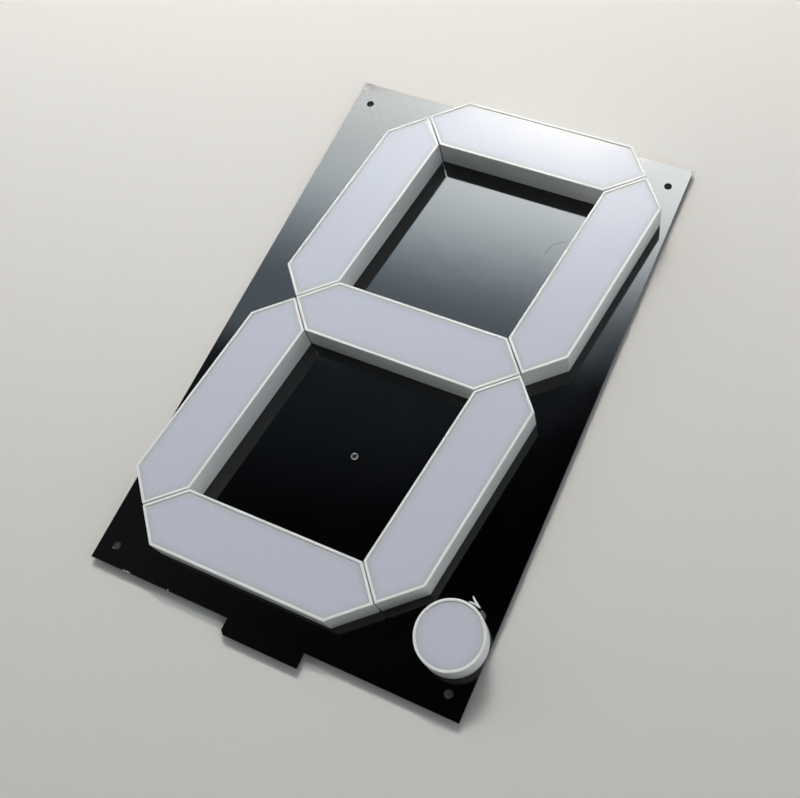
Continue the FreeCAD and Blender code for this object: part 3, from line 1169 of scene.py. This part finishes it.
def make_glue(glue):
    """The clear bead at the foot of the point and the two threads drawn out from it, painted white as a
    painted highlight.
    """
    small_radius = 0.79 * glue.bead_radius
    base = Vector((point_centre.x, point_centre.y, 0))
    drops = []
    for radius, turn in ((glue.bead_radius, math.radians(66)), (small_radius, math.radians(82))):
        foot = Vector((point_radius * math.cos(turn), point_radius * math.sin(turn), board_top))
        drops.append(drop(base + foot, radius))
    bead = combined(drops[0], drops[1], "UNION")
    under_board = (2 * point_radius, board_low.z - point_radius, board_top)
    inside_shell = (point_radius, 0, shell_top)
    for reach, low, high in (under_board, inside_shell):
        ring = round_ring(point_centre, reach)
        bead = combined(bead, loft("cut", [ring(0, low), ring(0, high)]), "DIFFERENCE")
    smooth(bead, 40)
    seat(show("glue_bead", bead, bead_material(glue)), "point_glue")
    corner = base + Vector((4.4, 16.2, 0)) * MM
    upper_end = base + Vector((-0.4, 19.6, 0)) * MM
    lower_end = base + Vector((-0.9, 16.9, 0)) * MM
    upper_bow, lower_bow = 0.3 * MM, -0.2 * MM
    upper = thread(corner, upper_end, upper_bow, glue.thread_width, glue.thread_height)
    lower = thread(corner, lower_end, lower_bow, glue.thread_width, glue.thread_height)
    ridge = combined(upper, lower, "UNION")
    smooth(ridge, 50)
    # Painted highlight: the threads are white where clear glue would catch the light.
    seat(show("glue_threads", ridge, highlight_thread_material(glue)), "point_glue")


def make_floor(stage):
    """A plain pale floor, just clear of the part's lowest face."""
    reach = 6.0
    height = cad_bounds[0].z - 0.05 * MM
    mesh = bpy.data.meshes.new("floor")
    mesh.from_pydata([(x * reach, y * reach, height) for x, y in SQUARE], [], [(0, 1, 2, 3)])
    material, tree, surface, place = new_material("pale_floor", Roughness=0.85, Specular_IOR_Level=0.2)
    shade = noise(tree, place, 6)
    use(tree, surface, {"Base Color": varied(tree, shade, stage.floor_colour, 0.985, 1.0)})
    show("floor", mesh, material)


def leaning(tree, parts, lean):
    """The distance along Y less a share of X, for a band of light that lies askew."""
    pivot = -0.28
    right = calculate(tree, "SUBTRACT", parts["X"], pivot)
    return calculate(tree, "SUBTRACT", parts["Y"], calculate(tree, "MULTIPLY", right, lean))


def panel_strength(tree, parts, left_end):
    """The light of each place on the panel, as a share of its broad part's light."""
    near_lean = leaning(tree, parts, 0.25)
    near = ramp(tree, near_lean, 0.34, 0.41, 0.0, 0.25)
    near = calculate(tree, "ADD", near, ramp(tree, near_lean, 0.05, 0.35, 0.0, 0.03))
    broad = ramp(tree, leaning(tree, parts, 0.1), 0.43, 0.68, 0.0, 1.25)
    broad = calculate(tree, "MULTIPLY", broad, ramp(tree, parts["X"], -0.60, -0.35, 0.85, 1.0))
    far = ramp(tree, parts["Y"], 0.62, 0.83, 0.0, 0.50)
    window_left = ramp(tree, parts["X"], -0.52, -0.42)
    window_right = ramp(tree, parts["X"], -0.22, -0.13, 1.0, 0.0)
    window = ramp(tree, parts["Y"], 0.81, 0.85, 0.0, 23.0)
    window = calculate(tree, "MULTIPLY", window, window_left, window_right)
    fade_in = ramp(tree, parts["X"], left_end, left_end + 0.15)
    across = calculate(tree, "SUBTRACT", parts["X"], calculate(tree, "MULTIPLY", parts["Y"], 0.45))
    fade_out = ramp(tree, across, -0.17, -0.40)
    rise = calculate(tree, "ADD", calculate(tree, "MULTIPLY", parts["X"], 0.35), 1.12)
    light = calculate(tree, "ADD", near, broad, far, window)
    return calculate(tree, "MULTIPLY", light, fade_in, fade_out, rise)


def make_panel(stage):
    """A large soft light panel past the digit's top, with a bright window along its far edge."""
    near_blue = (0.70, 0.86, 1.0)
    far_white = (0.957, 1.0, 0.99)
    window_warm = (1.0, 0.91, 0.79)
    low = Vector((-0.85, 0.05))
    high = Vector((0.05, 0.90))
    mesh = bpy.data.meshes.new("light_panel")
    corners = [(low.x, low.y), (low.x, high.y), (high.x, high.y), (high.x, low.y)]
    mesh.from_pydata([(x, y, stage.panel_height) for x, y in corners], [], [(0, 1, 2, 3)])
    material = bpy.data.materials.new("light_panel")
    material.use_nodes = True
    tree = material.node_tree
    tree.nodes.clear()
    parts = axes(tree, add(tree, "ShaderNodeTexCoord").outputs["Object"])
    light = calculate(tree, "MULTIPLY", panel_strength(tree, parts, low.x), stage.panel_strength)
    tone = blend(tree, ramp(tree, parts["Y"], 0.30, 0.80), near_blue, far_white)
    tone = blend(tree, ramp(tree, parts["Y"], 0.80, 0.84), tone, window_warm)
    glow = add(tree, "ShaderNodeEmission", {"Color": tone, "Strength": light}).outputs[0]
    add(tree, "ShaderNodeOutputMaterial", {"Surface": glow})
    panel = show("light_panel", mesh, material)
    panel.visible_camera = False


def make_world():
    """Soft light from all round, dim overhead and brighter at the sides, with a pale background."""
    cool_light = (0.90, 0.95, 1.0, 1)
    pale_background = (0.8, 0.8, 0.79, 1)
    least_light = 0.01
    world = bpy.data.worlds.new("studio")
    bpy.context.scene.world = world
    world.use_nodes = True
    tree = world.node_tree
    tree.nodes.clear()
    parts = axes(tree, add(tree, "ShaderNodeTexCoord").outputs["Generated"])
    low_sky = ramp(tree, parts["Z"], 0.50, 0.85, 0.345, 0.09)
    overhead = ramp(tree, parts["Z"], 0.85, 0.995, 0.0, 0.08)
    right = ramp(tree, parts["X"], 0.1, 1.0, 0.0, 0.58)
    left = ramp(tree, parts["X"], -0.60, -0.95, 0.0, 1.25)
    foot_side = ramp(tree, parts["Y"], -1.0, 0.15, 0.37, 0.0)
    light = calculate(tree, "ADD", calculate(tree, "SUBTRACT", low_sky, overhead), right, left)
    light = calculate(tree, "MAXIMUM", calculate(tree, "SUBTRACT", light, foot_side), least_light)
    inputs = {"Color": cool_light, "Strength": light}
    studio = add(tree, "ShaderNodeBackground", inputs).outputs[0]
    inputs = {"Color": pale_background, "Strength": 1.0}
    pale = add(tree, "ShaderNodeBackground", inputs).outputs[0]
    rays = add(tree, "ShaderNodeLightPath").outputs
    seen = calculate(tree, "MAXIMUM", rays["Is Camera Ray"], rays["Is Transmission Ray"])
    mixed = add(tree, "ShaderNodeMixShader", {0: seen, 1: studio, 2: pale}).outputs[0]
    add(tree, "ShaderNodeOutputWorld", {"Surface": mixed})


def make_camera(stage):
    """The camera at the photograph's angle."""
    data = bpy.data.cameras.new("camera")
    data.sensor_width = 36
    data.lens = stage.lens
    data.shift_x = -0.0750
    data.shift_y = -0.0046
    data.clip_start = 10 * MM
    camera = linked("camera", data)
    forward = Vector((-0.278196, 0.331566, -0.901483)).normalized()
    roughly_up = Vector((-0.323128, 0.851525, 0.412908))
    side = forward.cross(roughly_up).normalized()
    turn = Matrix((side, side.cross(forward), -forward)).transposed().to_4x4()
    camera.matrix_world = Matrix.Translation(stage.camera_place) @ turn
    bpy.context.scene.camera = camera


class DIGIT_OT_board(bpy.types.Operator):
    """Make the circuit board with its holes, slots and tongue"""

    bl_idname = "digit.board"
    bl_label = "Circuit board"

    def execute(self, context):
        scene = context.scene
        make_board(scene.digit_board, scene.digit_shells)
        return {"FINISHED"}


class DIGIT_OT_shells(bpy.types.Operator):
    """Make the white shells of the segments and the point"""

    bl_idname = "digit.shells"
    bl_label = "Shells"

    def execute(self, context):
        make_shells(context.scene.digit_shells)
        return {"FINISHED"}


class DIGIT_OT_diffusers(bpy.types.Operator):
    """Make the milky diffusers that sit in the shells"""

    bl_idname = "digit.diffusers"
    bl_label = "Diffusers"

    def execute(self, context):
        scene = context.scene
        make_diffusers(scene.digit_shells, scene.digit_diffusers)
        return {"FINISHED"}


class DIGIT_OT_leds(bpy.types.Operator):
    """Make the LEDs that stand under the diffusers"""

    bl_idname = "digit.leds"
    bl_label = "LEDs"

    def execute(self, context):
        scene = context.scene
        make_leds(scene.digit_shells, scene.digit_leds)
        return {"FINISHED"}


class DIGIT_OT_solder(bpy.types.Operator):
    """Make the solder joints on the back of the board"""

    bl_idname = "digit.solder"
    bl_label = "Solder joints"

    def execute(self, context):
        scene = context.scene
        make_solder(scene.digit_shells, scene.digit_leds, scene.digit_solder)
        return {"FINISHED"}


class DIGIT_OT_resistors(bpy.types.Operator):
    """Make the row of chip resistors on the back"""

    bl_idname = "digit.resistors"
    bl_label = "Resistors"

    def execute(self, context):
        scene = context.scene
        make_resistors(scene.digit_resistors, scene.digit_solder)
        return {"FINISHED"}


class DIGIT_OT_contacts(bpy.types.Operator):
    """Make the gold-plated contact fingers"""

    bl_idname = "digit.contacts"
    bl_label = "Contact fingers"

    def execute(self, context):
        make_contacts(context.scene.digit_contacts)
        return {"FINISHED"}


class DIGIT_OT_glue(bpy.types.Operator):
    """Make the bead and the threads of glue at the point"""

    bl_idname = "digit.glue"
    bl_label = "Glue"

    def execute(self, context):
        make_glue(context.scene.digit_glue)
        return {"FINISHED"}


class DIGIT_OT_stage(bpy.types.Operator):
    """Make the floor, the light and the camera"""

    bl_idname = "digit.stage"
    bl_label = "Stage"

    def execute(self, context):
        stage = context.scene.digit_stage
        make_floor(stage)
        make_panel(stage)
        make_world()
        make_camera(stage)
        context.scene.view_settings.view_transform = "Standard"
        return {"FINISHED"}


class DIGIT_PT_sidebar(bpy.types.Panel):
    """The steps that dress the digit, each with its settings"""

    bl_label = "Seven-segment digit"
    bl_space_type = "VIEW_3D"
    bl_region_type = "UI"
    bl_category = "Digit"

    def draw(self, context):
        for operator, group, _ in steps:
            box = self.layout.box()
            box.operator(operator.bl_idname)
            settings = getattr(context.scene, group)
            for name in settings.__annotations__:
                box.prop(settings, name)


steps = [
    (DIGIT_OT_stage, "digit_stage", StageSettings),
    (DIGIT_OT_board, "digit_board", BoardSettings),
    (DIGIT_OT_shells, "digit_shells", ShellSettings),
    (DIGIT_OT_diffusers, "digit_diffusers", DiffuserSettings),
    (DIGIT_OT_leds, "digit_leds", LedSettings),
    (DIGIT_OT_solder, "digit_solder", SolderSettings),
    (DIGIT_OT_resistors, "digit_resistors", ResistorSettings),
    (DIGIT_OT_contacts, "digit_contacts", ContactSettings),
    (DIGIT_OT_glue, "digit_glue", GlueSettings),
]


def register():
    for operator, group, settings in steps:
        bpy.utils.register_class(settings)
        setattr(bpy.types.Scene, group, PointerProperty(type=settings))
        bpy.utils.register_class(operator)
    bpy.utils.register_class(DIGIT_PT_sidebar)


def unregister():
    bpy.utils.unregister_class(DIGIT_PT_sidebar)
    for operator, group, settings in reversed(steps):
        bpy.utils.unregister_class(operator)
        delattr(bpy.types.Scene, group)
        bpy.utils.unregister_class(settings)


def main():
    register()
    bpy.ops.digit.stage()
    bpy.ops.digit.board()
    bpy.ops.digit.shells()
    bpy.ops.digit.diffusers()
    bpy.ops.digit.leds()
    bpy.ops.digit.solder()
    bpy.ops.digit.resistors()
    bpy.ops.digit.contacts()
    bpy.ops.digit.glue()


if __name__ == "__main__":
    main()
